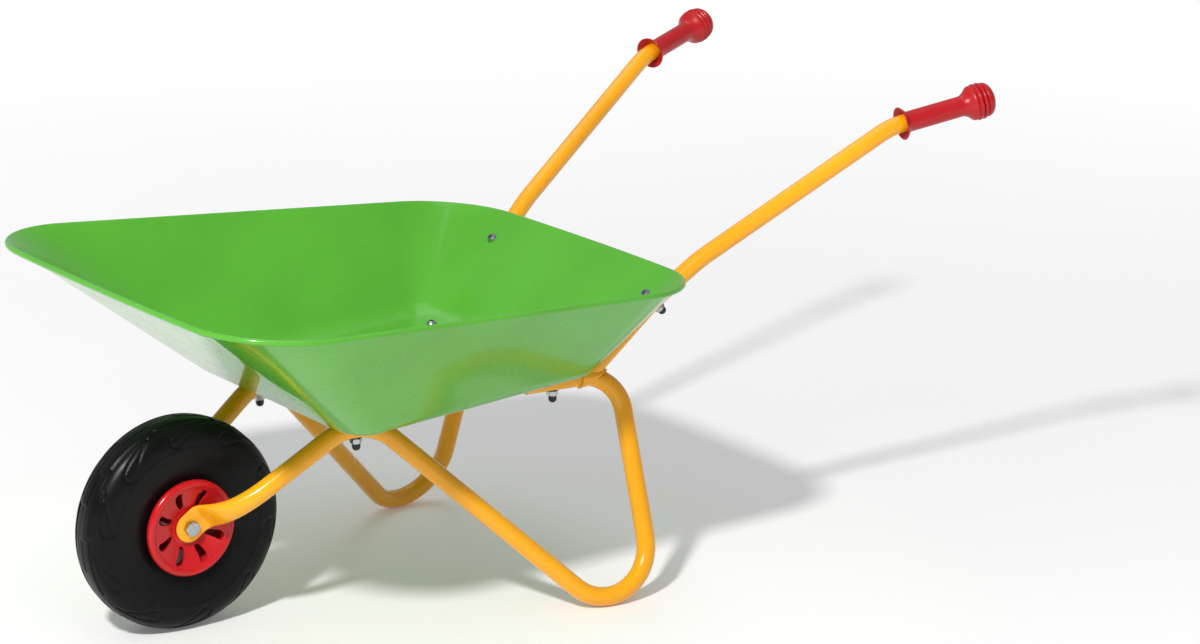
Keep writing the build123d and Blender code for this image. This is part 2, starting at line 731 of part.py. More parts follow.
# ------------------------------------------------------ grips
def grip_shape():
    """Moulded grip along +Z, flange at the origin, ringed knob at the end."""
    body_r = grip_body_d / 2
    flange_r = grip_flange_d / 2
    knob_r = grip_knob_d / 2
    cone_end = grip_body_l + 0.75 * (knob_r - body_r) + tube_in_knob
    core_r = knob_r - 1.6
    core_end = (core_r - 0.8, cone_end + 2 * grip_ring_pitch)
    cone_start = (body_r, grip_body_l)
    cone_mid = ((body_r + knob_r) / 2 - 0.6, (grip_body_l + cone_end) / 2 + 0.6)
    cone_top = (core_r, cone_end)
    dome_mid = (knob_r * 0.62, grip_l - 3.2)
    cup_l = 6.0             # cup's length on the body
    mouth_r = body_r - grip_wall
    lip_in = (flange_r - 0.8, -3.0)
    lip_out = (flange_r, -2.2)
    outline = make_face([
        Polyline((0, grip_l), (0, cup_l - 2), (body_r, cup_l - 2), cone_start),
        Spline(cone_start, cone_mid, cone_top, tangents=[(0, 1), (0.6, 1)]),
        Line(cone_top, core_end),
        Spline(core_end, dome_mid, (0, grip_l), tangents=[(0, 1), (-1, 0)]),
    ])
    body = revolve(Plane.XZ * outline, Axis.Z)
    for i, inset in enumerate((0.6, 0.3, 2.2)):
        height = cone_end + grip_ring_r + i * grip_ring_pitch
        ring = Torus(knob_r - inset - grip_ring_r, grip_ring_r)
        body += Pos(0, 0, height) * ring
    cup = make_face([
        Polyline((body_r, cup_l), (mouth_r, cup_l), (mouth_r, cup_l / 2)),
        Spline((mouth_r, cup_l / 2), (body_r + 1.2, 0.6), lip_in, tangents=[(0, -1), (0.8, -1)]),
        ThreePointArc(lip_in, (flange_r + 0.1, -3.2), lip_out),
        Spline(lip_out, (body_r + 2.6, 1.6), (body_r, cup_l), tangents=[(-0.6, 1), (0, 1)]),
    ])
    body += revolve(Plane.XZ * cup, Axis.Z)
    bore_l = grip_body_l + tube_in_knob + hole_gap
    bore = Cylinder(handle_r + grip_gap, bore_l + 2 * cup_l)
    return body - Pos(0, 0, bore_l / 2 - cup_l) * bore


level = Vector(-grip_dir3.Y, grip_dir3.X, 0).normalized()
grip_plane = Plane(origin=grip_foot, z_dir=grip_dir3, x_dir=level)
grip = grip_plane * grip_shape()
save(grip, "grip_left")
save(flipped(grip), "grip_right")
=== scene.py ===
"""Child's wheelbarrow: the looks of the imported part, laid out as an add-on.

The tray, tubes, tyre, wheel centre and grips are surfaces worked out with
numpy, in metres, in the frame of the CAD model: +Y to the handles, +Z up,
+X to the user's left, origin on the ground under the middle.
"""

import json
import math

import bpy
import numpy as np
from bpy.props import FloatProperty, FloatVectorProperty, IntProperty, PointerProperty
from mathutils import Matrix, Vector


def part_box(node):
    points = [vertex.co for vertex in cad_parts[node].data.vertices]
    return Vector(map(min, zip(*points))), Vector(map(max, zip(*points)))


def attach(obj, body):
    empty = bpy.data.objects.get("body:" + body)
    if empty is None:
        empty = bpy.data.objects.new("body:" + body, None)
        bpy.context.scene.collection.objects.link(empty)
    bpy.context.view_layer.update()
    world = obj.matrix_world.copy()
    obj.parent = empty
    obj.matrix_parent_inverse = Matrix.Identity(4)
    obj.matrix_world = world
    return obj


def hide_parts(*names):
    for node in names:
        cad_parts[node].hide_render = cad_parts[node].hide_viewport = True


bl_info = {
    "name": "Child's wheelbarrow",
    "version": (1, 0, 0),
    "blender": (4, 5, 0),
    "location": "3D View > Sidebar > Wheelbarrow",
    "description": "Wheelbarrow with a pressed tray, bent tubes and a moulded wheel",
    "category": "Add Mesh",
}

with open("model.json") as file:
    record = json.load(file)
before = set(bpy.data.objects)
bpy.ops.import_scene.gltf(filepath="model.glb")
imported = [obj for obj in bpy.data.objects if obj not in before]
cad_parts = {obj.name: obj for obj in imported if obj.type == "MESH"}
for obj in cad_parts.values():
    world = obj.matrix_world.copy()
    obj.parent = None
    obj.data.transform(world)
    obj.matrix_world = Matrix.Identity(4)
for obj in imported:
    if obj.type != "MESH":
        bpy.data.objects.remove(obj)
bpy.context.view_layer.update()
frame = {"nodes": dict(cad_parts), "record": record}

TAU = 2 * math.pi
WHEEL_LOW, WHEEL_HIGH = (np.array(corner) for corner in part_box("tyre"))
AXLE = (WHEEL_LOW + WHEEL_HIGH) / 2
WHEEL_RADIUS = (WHEEL_HIGH[2] - WHEEL_LOW[2]) / 2


# ---------------------------------------------------------------- sizes
def metres(name, description, value):
    """A length, in metres."""
    return FloatProperty(name=name, description=description, default=value,
                         subtype="DISTANCE")


def colour(name, description, value):
    """A colour as red, green and blue from 0 to 1."""
    return FloatVectorProperty(name=name, description=description, default=value,
                               subtype="COLOR", size=3, min=0.0, max=1.0)


class TraySizes(bpy.types.PropertyGroup):
    """Sizes of the pressed tray."""

    floor_front: metres("Floor front", "Half width of the floor at its front edge", 0.141)
    floor_rear: metres("Floor rear", "Half width of the floor at its rear edge", 0.137)
    floor_length: metres(
        "Floor length", "Length of the floor before its edges are rounded", 0.270)
    floor_height: metres(
        "Floor height", "Height of the floor's underside at its front edge", 0.1936)
    floor_rise: FloatProperty(
        name="Floor rise", description="Rise of the floor for each metre to the back",
        default=0.071)
    floor_corner: metres("Floor corner", "Radius of the floor's corners seen from above", 0.032)
    foot_bend: metres("Foot bend", "Outside radius of the bend from floor to wall", 0.030)
    rim_front: metres("Rim front", "Half width of the rolled edge at the front", 0.2425)
    rim_rear: metres("Rim rear", "Half width of the rolled edge at the rear", 0.201)
    rim_front_height: metres(
        "Rim front height", "Height of the rolled edge's centre at the front", 0.3289)
    rim_rear_height: metres(
        "Rim rear height", "Height of the rolled edge's centre at the rear", 0.3015)
    rim_front_reach: metres("Front overhang", "Rolled edge in front of the axle", 0.0732)
    rim_rear_reach: metres("Rear reach", "Rolled edge behind the axle", 0.4552)
    floor_reach: metres("Floor start", "Front edge of the floor behind the axle", 0.106)
    front_corner: metres("Front corner", "Radius of the rolled edge's front corners", 0.084)
    rear_corner: metres("Rear corner", "Radius of the rolled edge's rear corners", 0.080)
    front_bow: metres("Front bow", "Bow of the front edge", 0.0065)
    rear_bow: metres("Rear bow", "Bow of the rear edge", 0.0078)
    roll_radius: metres("Roll", "Outside radius of the rolled edge", 0.0027)
    sheet: metres("Sheet", "Thickness of the sheet", 0.0012)


class TubeSizes(bpy.types.PropertyGroup):
    """Sizes of the bent tubes."""

    handle_radius: metres("Handle tube", "Outside radius of the handle tubes", 0.0085)
    leg_radius: metres("Leg tube", "Outside radius of the leg tubes", 0.009)
    wall: metres("Wall", "Wall of the tubes", 0.0015)
    plate_x: metres(
        "Fork plate", "Middle of the flattened fork end from the middle of the wheel", 0.0223)
    plate_thickness: metres("Fork plate thickness", "Two tube walls pressed together", 0.003)
    plate_radius: metres("Fork end radius", "Radius of the round end at the axle", 0.01398)


class WheelSizes(bpy.types.PropertyGroup):
    """Sizes of the tyre and the wheel's moulded centre."""

    half_width: metres("Half width", "Half the width of the tyre", 0.025)
    bead_x: metres("Bead", "Tyre's edge at the wheel's centre, from the middle", 0.0192)
    tyre_wall: metres("Tyre wall", "Thickness of the tyre", 0.004)
    lugs: IntProperty(
        name="Lugs", description="Number of tread pads on each shoulder", default=10)
    slots: IntProperty(
        name="Slots", description="Number of slots in the wheel's centre", default=8)


class GripSizes(bpy.types.PropertyGroup):
    """Sizes of the hand grips."""

    body_radius: metres("Body", "Radius of the grip's plain part", 0.010)
    flange_radius: metres("Flange", "Radius of the flange", 0.016)
    knob_radius: metres("Knob", "Radius of the ringed knob", 0.0182)
    body_length: metres("Body length", "From the flange to the start of the cone", 0.062)
    length: metres("Length", "From the flange to the knob's end", 0.0955)


class Colours(bpy.types.PropertyGroup):
    """Colours of the finishes."""

    tray: colour("Tray", "Green powder coat", (0.086, 0.385, 0.026))
    tubes: colour("Tubes", "Yellow powder coat", (0.86, 0.37, 0.006))
    grips: colour("Grips", "Red moulded grips", (0.44, 0.008, 0.012))
    centre: colour("Wheel centre", "Red moulded wheel centre", (0.52, 0.008, 0.012))
    tyre: colour("Tyre", "Black rubber", (0.0024, 0.0024, 0.0027))
    zinc: colour("Zinc", "Plated bolts and nuts", (0.44, 0.47, 0.50))


class StageSettings(bpy.types.PropertyGroup):
    """Camera and light."""

    azimuth: FloatProperty(
        name="Azimuth", description="Camera's turn from straight ahead",
        default=math.radians(52.284), subtype="ANGLE")
    elevation: FloatProperty(
        name="Elevation", description="Camera's height over the horizon",
        default=math.radians(15.470), subtype="ANGLE")
    roll: FloatProperty(
        name="Roll", description="Camera's roll", default=math.radians(1.627), subtype="ANGLE")
    distance: metres("Distance", "Camera to the point it looks at", 3.6393)
    lens: FloatProperty(
        name="Lens", description="Focal length in mm on a 36 mm sensor", default=111.68)
    key_power: FloatProperty(
        name="Key light", description="Power of the key light in watts", default=93.0)
    sky: FloatProperty(
        name="Sky", description="Strength of the soft light from all round", default=0.40)
    top_power: FloatProperty(
        name="Top light", description="Power of the soft light overhead in watts", default=14.0)


class WheelbarrowSettings(bpy.types.PropertyGroup):
    """All sizes and colours of the wheelbarrow."""

    tray: PointerProperty(type=TraySizes)
    tubes: PointerProperty(type=TubeSizes)
    wheel: PointerProperty(type=WheelSizes)
    grips: PointerProperty(type=GripSizes)
    colours: PointerProperty(type=Colours)
    stage: PointerProperty(type=StageSettings)


def settings():
    """The scene's wheelbarrow settings."""
    return bpy.context.scene.wheelbarrow


# Corners of the left-hand tubes' centre lines, in metres, and the bend radius
# in each inner corner.
HANDLE_CORNERS = (
    (0.21392, 0.41299, 0.44548),    # end, inside the grip
    (0.19203, 0.33630, 0.42820),    # bend to the grip
    (0.13873, 0.14960, 0.31060),    # slight bend past the rolled edge
    (0.12613, 0.10549, 0.27381),    # slight bend at the rear wall's bolt
    (0.10800, 0.04197, 0.20452),    # bend under the floor
    (0.09125, -0.01669, 0.20036),   # open front end
)
HANDLE_BENDS = (0.080, 0.150, 0.150, 0.0386)
LEG_CORNERS = (
    (0.10592, 0.03470, 0.20452),    # top, joined to the handle tube
    (0.11350, 0.07470, 0.20452),    # bend at the top
    (0.20300, 0.07470, -0.05690),   # foot
    (0.08250, -0.19330, 0.19983),   # apex under the floor's front bolt
    (0.06366, -0.28060, 0.14073),   # where the tube starts to be pressed flat
)
LEG_BENDS = (0.0388, 0.048, 0.050)
FLAT_REACH = 0.009  # fork end is flat this far from the axle
JOGGLE_HOLDS = (0.060, 0.017)  # how far the joggle's curve follows the tube, the plate
PRESSED_BY = 0.9  # share of the joggle over which the tube is pressed flat
TIP_TURN = math.radians(84)  # from the round end's widest section to its last
DIMPLE_BEHIND = 0.0165  # middle of the dimple behind the axle
DIMPLE_ASIDE = -0.002  # and across the plate
DIMPLE_LENGTH = 0.0055
DIMPLE_WIDTH = 0.0065
DIMPLE_DEPTH = 0.0014
OUTER_FROM = 0.0002  # the dimple moves only points this far out from the middle
COPE_RADIUS = 0.0094  # leg tube's top is cut round the handle tube
COPE_CUT_Y = 0.040  # leg tube starts behind this place
COPE_SLANT = 0.96  # cosine of the handle tube's splay at the joint
COPE_FROM_Y = 0.02  # the cut reaches only points behind this
COPE_FROM_Z = 0.17  # and above this
END_ROUND = 0.0003  # rounding of the handle tube's open end


# ---------------------------------------------------------------- surfaces
def unit(v):
    """Vectors divided by their length."""
    return v / np.linalg.norm(v, axis=-1, keepdims=True)


def ease(t):
    """Smooth step 3t^2 - 2t^3, held at 0 and 1 outside."""
    t = np.clip(t, 0.0, 1.0)
    return t * t * (3 - 2 * t)


def bump(distance, width):
    """1 within width of zero distance, falling smoothly to 0 at twice it."""
    return ease(2 - np.abs(distance) / width)


def grid_faces(rows, columns, close_rows):
    """Quads of a grid of points, each joining a point to its next row and
    column. The last column joins the first, and with close_rows the last row."""
    i, j = np.meshgrid(np.arange(rows if close_rows else rows - 1),
                       np.arange(columns), indexing="ij")
    i2 = (i + 1) % rows
    j2 = (j + 1) % columns
    quads = np.stack([i * columns + j, i * columns + j2,
                      i2 * columns + j2, i2 * columns + j], -1)
    return quads.reshape(-1, 4)


def grid_mesh(name, points, close_rows=False, sharp=35):
    """Closed mesh of a grid of points (rows, columns, 3). Its last row joins the
    first, or else both are closed by fans to their mean points. Faces are turned
    to give a positive volume, the sum over triangles of a . (b x c) / 6."""
    rows, columns = points.shape[:2]
    verts = points.reshape(-1, 3)
    quads = grid_faces(rows, columns, close_rows)
    faces = quads.tolist()
    tris = np.concatenate([quads[:, [0, 1, 2]], quads[:, [0, 2, 3]]])
    if not close_rows:
        ring = np.arange(columns)
        following = (ring + 1) % columns
        first = np.stack([following, ring, np.full(columns, len(verts))], -1)
        base = (rows - 1) * columns
        last = np.stack([base + ring, base + following,
                         np.full(columns, len(verts) + 1)], -1)
        verts = np.vstack([verts, points[0].mean(0), points[-1].mean(0)])
        fans = np.concatenate([first, last])
        faces += fans.tolist()
        tris = np.concatenate([tris, fans])
    a, b, c = (verts[tris[:, k]] for k in range(3))
    if np.einsum("ij,ij->", a, np.cross(b, c)) < 0:
        faces = [face[::-1] for face in faces]
    mesh = bpy.data.meshes.new(name)
    mesh.from_pydata(verts.tolist(), [], faces)
    mesh.polygons.foreach_set("use_smooth", np.ones(len(mesh.polygons), bool))
    mesh.set_sharp_from_angle(angle=math.radians(sharp))
    mesh.update()
    return mesh


def mirrored(points):
    """The same points for the right-hand side: x turned round."""
    return points * np.array([-1.0, 1.0, 1.0])


def smooth_curve(knots, count):
    """Catmull-Rom curve through knots: each span is the cubic whose slope at a
    knot is half the step from the knot before it to the knot after it."""
    knots = np.asarray(knots, float)
    padded = np.vstack([2 * knots[0] - knots[1], knots, 2 * knots[-1] - knots[-2]])
    u = np.linspace(0, len(knots) - 1, count)
    k = np.minimum(u.astype(int), len(knots) - 2)
    t = (u - k)[:, None]
    p0, p1, p2, p3 = (padded[k + i] for i in range(4))
    return 0.5 * (2 * p1 + (p2 - p0) * t + (2 * p0 - 5 * p1 + 4 * p2 - p3) * t**2
                  + (3 * p1 - p0 - 3 * p2 + p3) * t**3)


def straight(a, b, count):
    """Evenly spaced points from a up to, but not at, b."""
    t = np.linspace(0, 1, count, endpoint=False)[:, None]
    return a + (b - a) * t


def run_between(a, b, spacing=0.012):
    """Points about a spacing apart from a up to, but not at, b."""
    return straight(a, b, max(2, round(float(np.linalg.norm(b - a)) / spacing)))


def bent_line(corners, bends, arc_count=20):
    """Centre line of a bent tube. Each inner corner is an arc whose tangent
    points lie r tan(turn / 2) from the corner; straight runs join the arcs."""
    corners = np.asarray(corners, float)
    pieces = []
    last = corners[0]
    for i, r in enumerate(bends):
        corner = corners[i + 1]
        a = unit(corners[i] - corner)
        b = unit(corners[i + 2] - corner)
        half = math.acos(float(a @ b)) / 2
        reach = r / math.tan(half)
        centre = corner + unit(a + b) * r / math.sin(half)
        start = corner + a * reach
        e1 = unit(start - centre)
        phi = np.linspace(0, math.pi - 2 * half, arc_count)[:, None]
        arc = centre + r * (np.cos(phi) * e1 - np.sin(phi) * a)
        pieces += [run_between(last, start), arc[:-1]]
        last = arc[-1]
    pieces += [run_between(last, corners[-1]), corners[-1:]]
    return np.vstack(pieces)


def tangents(path):
    """Directions along a path, from the point before to the point after."""
    return unit(np.gradient(path, axis=0))


def carry(path, section, across):
    """Grid of a section carried along a path. The section's first number goes
    along the part of `across` that is square to the path, its second along the
    cross product of path and that."""
    along = tangents(path)
    side = unit(across - along * (along @ across)[:, None])
    up = np.cross(along, side)
    section = np.broadcast_to(section, (len(path),) + section.shape[-2:])
    return (path[:, None] + side[:, None] * section[..., :1]
            + up[:, None] * section[..., 1:])


def circle(radius, count=40):
    """Points of a circle."""
    a = np.linspace(0, TAU, count, endpoint=False)
    return np.stack([radius * np.cos(a), radius * np.sin(a)], -1)


def turned(profile, count, centre):
    """Grid of a profile of (place along the axis, radius) turned about X."""
    a = np.linspace(0, TAU, count, endpoint=False)
    x = np.repeat(profile[:, :1], count, 1)
    y = profile[:, 1:] * np.cos(a)
    z = profile[:, 1:] * np.sin(a)
    return np.stack([x, y, z], -1) + centre


# ---------------------------------------------------------------- materials
class Nodes:
    """A new material and short calls that add nodes to it."""

    def __init__(self, name):
        self.material = bpy.data.materials.new(name)
        self.material.use_nodes = True
        self.tree = self.material.node_tree
        self.shader = self.tree.nodes["Principled BSDF"]
        self.place = self.tree.nodes.new("ShaderNodeTexCoord").outputs["Object"]

    def link(self, source, target):
        self.tree.links.new(source, target)

    def set(self, **values):
        """Set the shader's inputs by name, with _ for each space."""
        for key, value in values.items():
            socket = self.shader.inputs[key.replace("_", " ")]
            socket.default_value = (*value, 1.0) if isinstance(value, tuple) else value

    def noise(self, scale, detail=2.0, rough=0.5):
        node = self.tree.nodes.new("ShaderNodeTexNoise")
        node.inputs["Scale"].default_value = scale
        node.inputs["Detail"].default_value = detail
        node.inputs["Roughness"].default_value = rough
        self.link(self.place, node.inputs["Vector"])
        return node.outputs["Fac"]

    def ramp(self, value, low, high, to_low=0.0, to_high=1.0):
        """The value from low to high, stretched to to_low to to_high."""
        node = self.tree.nodes.new("ShaderNodeMapRange")
        for name, number in (("From Min", low), ("From Max", high),
                             ("To Min", to_low), ("To Max", to_high)):
            node.inputs[name].default_value = number
        self.link(value, node.inputs["Value"])
        return node.outputs["Result"]

    def mix(self, amount, first, second):
        """Colour between two: each is a colour or a node's output."""
        node = self.tree.nodes.new("ShaderNodeMix")
        node.data_type = "RGBA"
        self.link(amount, node.inputs["Factor"])
        for socket, value in ((node.inputs[6], first), (node.inputs[7], second)):
            if isinstance(value, tuple):
                socket.default_value = (*value, 1.0)
            else:
                self.link(value, socket)
        return node.outputs[2]

    def bump(self, height, strength, distance, under=None):
        node = self.tree.nodes.new("ShaderNodeBump")
        node.inputs["Strength"].default_value = strength
        node.inputs["Distance"].default_value = distance
        self.link(height, node.inputs["Height"])
        if under is not None:
            self.link(under, node.inputs["Normal"])
        return node.outputs["Normal"]

    def to(self, socket, name):
        self.link(socket, self.shader.inputs[name])


def shade(rgb, factor):
    """A colour made lighter or darker."""
    return tuple(min(1.0, float(c) * factor) for c in rgb)


def powder_coat(name, rgb):
    """Gloss powder coat: fine orange peel, slow changes of gloss, specks of dust."""
    n = Nodes(name)
    tone = n.ramp(n.noise(9.0), 0.35, 0.65)
    body = n.mix(tone, shade(rgb, 0.93), shade(rgb, 1.05))
    dust = n.ramp(n.noise(2600.0, 1.0), 0.74, 0.80)
    n.to(n.mix(dust, body, shade(rgb, 0.6)), "Base Color")
    n.to(n.ramp(n.noise(60.0, 4.0), 0.3, 0.7, 0.20, 0.30), "Roughness")
    peel = n.bump(n.noise(620.0, 1.0), 0.02, 0.0002)
    n.to(n.bump(n.noise(14.0, 1.0), 0.03, 0.001, peel), "Normal")
    n.set(Specular_IOR_Level=0.25, Coat_Weight=0.7, Coat_Roughness=0.04, Coat_IOR=1.34)
    n.to(n.bump(n.noise(14.0, 1.0), 0.03, 0.001), "Coat Normal")
    return n.material


def moulded_plastic(name, rgb, low_rough, high_rough, grain):
    """Moulded plastic: fine spark grain, slight sink, faint tone changes."""
    n = Nodes(name)
    tone = n.ramp(n.noise(35.0, 3.0), 0.3, 0.7)
    n.to(n.mix(tone, shade(rgb, 0.9), shade(rgb, 1.06)), "Base Color")
    n.to(n.ramp(n.noise(90.0, 4.0), 0.3, 0.7, low_rough, high_rough), "Roughness")
    fine = n.bump(n.noise(3200.0, 2.0), grain, 0.0002)
    n.to(n.bump(n.noise(45.0, 1.0), 0.05, 0.002, fine), "Normal")
    n.set(Specular_IOR_Level=0.35)
    return n.material


def rubber(name, rgb):
    """Moulded rubber: fine grain, bloom that greys it in places, dull gloss."""
    n = Nodes(name)
    bloom = n.ramp(n.noise(28.0, 5.0, 0.6), 0.35, 0.75)
    n.to(n.mix(bloom, shade(rgb, 0.8), shade(rgb, 1.9)), "Base Color")
    n.to(n.ramp(n.noise(55.0, 5.0), 0.3, 0.7, 0.30, 0.46), "Roughness")
    fine = n.bump(n.noise(2400.0, 3.0), 0.10, 0.0002)
    n.to(n.bump(n.noise(120.0, 2.0), 0.04, 0.001, fine), "Normal")
    n.set(Specular_IOR_Level=0.14)
    return n.material


def plated(name, rgb, rough):
    """Bright zinc: metallic, cloudy, with fine turning marks."""
    n = Nodes(name)
    cloud = n.ramp(n.noise(420.0, 4.0), 0.35, 0.65)
    n.to(n.mix(cloud, shade(rgb, 0.82), shade(rgb, 1.05)), "Base Color")
    n.to(n.ramp(n.noise(900.0, 3.0), 0.3, 0.7, rough, rough + 0.14), "Roughness")
    n.to(n.bump(n.noise(1800.0, 2.0), 0.12, 0.0002), "Normal")
    n.set(Metallic=1.0)
    return n.material


def finish(slot):
    """The material of a slot, made when first asked for."""
    name = "finish_" + slot
    known = bpy.data.materials.get(name)
    if known:
        return known
    c = settings().colours
    makers = {
        "tray_green": lambda: powder_coat(name, tuple(c.tray)),
        "frame_yellow": lambda: powder_coat(name, tuple(c.tubes)),
        "grip_red": lambda: moulded_plastic(name, tuple(c.grips), 0.26, 0.38, 0.05),
        "hub_red": lambda: moulded_plastic(name, tuple(c.centre), 0.16, 0.26, 0.02),
        "tyre_black": lambda: rubber(name, tuple(c.tyre)),
        "zinc": lambda: plated(name, tuple(c.zinc), 0.18),
        "cap_black": lambda: moulded_plastic(name, (0.012, 0.012, 0.013), 0.18, 0.3, 0.03),
        "bush_nylon": lambda: moulded_plastic(name, (0.72, 0.70, 0.64), 0.35, 0.5, 0.05),
        "sleeve_steel": lambda: plated(name, (0.5, 0.5, 0.52), 0.3),
    }
    return makers[slot]()


def add_piece(name, mesh, body, slot, replaced):
    """Object with its place in its mesh and a slot's finish, riding on a body
    and standing for CAD nodes."""
    mesh.materials.clear()
    mesh.materials.append(finish(slot))
    obj = bpy.data.objects.new(name, mesh)
    bpy.context.scene.collection.objects.link(obj)
    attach(obj, body)
    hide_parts(*replaced)


# ---------------------------------------------------------------- tray
BOW_FROM = 0.3  # the bow fades where the edge faces less to its end
ROLL_END = math.radians(-128)  # where the rolled edge stops, from straight outwards
LIP_ROUND = 0.12  # further turn of the rolled edge's rounded lip
ROLL_GUESS = math.radians(140)  # first guess of where the wall meets the roll


def rounded_outline(front, rear, length, front_r, rear_r, side_count=40, corner_count=22):
    """Four-sided outline with round corners, from above, and its outward
    normals. A corner is an arc of radius r about the point that lies r inside
    both of its sides; evenly spaced points join the arcs."""
    corners = np.array([[-front, 0.0], [front, 0.0], [rear, length], [-rear, length]])
    radii = (front_r, front_r, rear_r, rear_r)
    sides = unit(np.roll(corners, -1, axis=0) - corners)
    normals = np.stack([sides[:, 1], -sides[:, 0]], -1)
    arcs = []
    arc_normals = []
    for i, r in enumerate(radii):
        n1 = normals[i - 1]
        n2 = normals[i]
        start = math.atan2(n1[1], n1[0])
        sweep = (math.atan2(n2[1], n2[0]) - start) % TAU
        reach = r * math.tan(sweep / 2)
        centre = corners[i] - sides[i - 1] * reach - n1 * r
        a = start + sweep * np.linspace(0, 1, corner_count)
        direction = np.stack([np.cos(a), np.sin(a)], -1)
        arcs.append(centre + direction * r)
        arc_normals.append(direction)
    points = []
    outward = []
    for i in range(4):
        following = arcs[(i + 1) % 4][0]
        run = straight(arcs[i][-1], following, side_count)[1:]
        points += [arcs[i], run]
        outward += [arc_normals[i], np.repeat(normals[i][None], len(run), 0)]
    return np.vstack(points), np.vstack(outward)


def in_plane(points, origin, up):
    """Points of a plan laid on a plane that rises or falls along Y: x stays,
    and the plan's y goes along the plane's own direction."""
    along = unit(np.array([0.0, up[2], -up[1]]))
    return origin + points[:, :1] * np.array([1.0, 0, 0]) + points[:, 1:] * along


def fillet_rows(corner, a, b, radius, count):
    """Arc of a radius in each corner between directions a and b, a row for
    each step: the centre lies r / sin(half angle) along the bisector."""
    half = np.arccos(np.clip(np.sum(a * b, -1), -1, 1)) / 2
    centre = corner + unit(a + b) * (radius / np.sin(half))[:, None]
    reach = (radius / np.tan(half))[:, None]
    e1 = unit(corner + a * reach - centre)
    t = np.linspace(0, 1, count)[:, None, None]
    turn = (math.pi - 2 * half)[None, :, None] * t
    return centre + radius * (np.cos(turn) * e1 - np.sin(turn) * a), reach


def tray_points(s):
    """The tray's closed skin as rows from the middle of the floor's inside,
    out and up the wall, round the rolled edge, and back down the outside."""
    rim_length = s.rim_rear_reach + s.rim_front_reach
    fall = (s.rim_rear_height - s.rim_front_height) / rim_length
    rim_up = unit(np.array([0.0, -fall, 1.0]))
    floor_up = unit(np.array([0.0, -s.floor_rise, 1.0]))
    rim_slant = rim_length * math.sqrt(1 + fall * fall)
    rim, rim_out = rounded_outline(s.rim_front, s.rim_rear, rim_slant,
                                   s.front_corner, s.rear_corner)
    at_front = rim[:, 1] < rim_slant / 2
    width = np.where(at_front, s.rim_front, s.rim_rear)
    bow = np.where(at_front, -s.front_bow, s.rear_bow) * (1 - (rim[:, 0] / width) ** 2)
    facing = np.abs(rim_out[:, 1])
    rim[:, 1] += bow * np.where(facing > BOW_FROM, 1.0, (facing / BOW_FROM) ** 2)
    floor, floor_out = rounded_outline(
        s.floor_front, s.floor_rear, s.floor_length / floor_up[2],
        s.floor_corner, s.floor_corner)
    rim_start = np.array([0.0, AXLE[1] - s.rim_front_reach, s.rim_front_height])
    floor_start = np.array([0.0, AXLE[1] + s.floor_reach, s.floor_height])
    rim = in_plane(rim, rim_start, rim_up)
    floor = in_plane(floor, floor_start, floor_up)
    flat_out = np.zeros(3)
    rim_out = in_plane(rim_out, flat_out, rim_up)
    floor_out = in_plane(floor_out, flat_out, floor_up)

    # the outside of the wall is tangent to the inside of the roll
    def roll(radius, turn):
        """Points at a radius and turn round the rolled edge's centre line."""
        return rim + radius * (np.cos(turn)[..., None] * rim_out
                               + np.sin(turn)[..., None] * rim_up)

    curl = s.roll_radius - s.sheet
    angle = np.full(len(rim), ROLL_GUESS)
    round_dir = unit(np.roll(rim, -1, 0) - np.roll(rim, 1, 0))
    for _ in range(6):
        top = roll(curl, angle)
        wall = unit(top - floor)
        inward = unit(np.cross(round_dir, wall))
        inward *= np.sign(inward[:, 2:])
        angle = np.arctan2(inward @ rim_up, np.sum(inward * rim_out, -1))

    middle = floor_start + np.array([0.0, floor_up[2], -floor_up[1]]) * s.floor_length / 2
    bend, reach = fillet_rows(floor, -floor_out, wall, s.foot_bend, 12)
    edge = floor - floor_out * reach
    floor_rows = np.stack([middle + (edge - middle) * t for t in np.linspace(0.06, 0.97, 12)])
    wall_foot = floor + wall * reach
    wall_rows = np.stack(
        [wall_foot + (top - wall_foot) * t for t in np.linspace(0.04, 1.0, 18)])
    outside = np.concatenate([floor_rows, bend, wall_rows])

    # the inside is the outside moved by the sheet's thickness along its normal
    down = np.gradient(outside, axis=0)
    around = np.roll(outside, -1, 1) - np.roll(outside, 1, 1)
    normal = unit(np.cross(around, down))
    normal *= np.sign(normal[..., 2:] + 1e-9)
    normal[: len(floor_rows)] = floor_up
    normal[-1] = np.cos(angle)[:, None] * rim_out + np.sin(angle)[:, None] * rim_up
    inside = outside + normal * s.sheet

    share = np.linspace(0, 1, 30)[1:, None]
    outer = roll(s.roll_radius, angle + (ROLL_END - angle) * share)
    lip = roll(s.roll_radius - s.sheet / 2, np.full((1, len(rim)), ROLL_END - LIP_ROUND))
    inner = roll(curl, angle + (ROLL_END - angle) * share[::-1])
    return np.concatenate([inside, outer, lip, inner, outside[::-1]])


class BARROW_OT_tray(bpy.types.Operator):
    """Build the pressed tray with its rolled edge"""

    bl_idname = "barrow.tray"
    bl_label = "Tray"

    def execute(self, context):
        mesh = grid_mesh("tray_shell", tray_points(settings().tray), sharp=50)
        add_piece("tray_shell", mesh, "barrow", "tray_green", ["tray"])
        return {"FINISHED"}


# ---------------------------------------------------------------- tubes
def handle_line():
    """Centre line of the left handle tube, from its grip to its front end."""
    return bent_line(HANDLE_CORNERS, HANDLE_BENDS)


def handle_points(s):
    """Outside from the grip's end to the open front end, then the bore back."""
    line = handle_line()
    across = unit(np.cross(line[0] - line[-1], [0.0, 0.0, 1.0]))
    outside = carry(line, circle(s.handle_radius), across)
    bore = carry(line, circle(s.handle_radius - s.wall), across)
    past_end = line[-1:].repeat(2, 0) + np.array([[0, 0, 0], [0, -END_ROUND, 0]])
    round_over = carry(past_end, circle(s.handle_radius - s.wall / 2), across)[1:]
    return np.concatenate([outside, round_over, bore[::-1]])


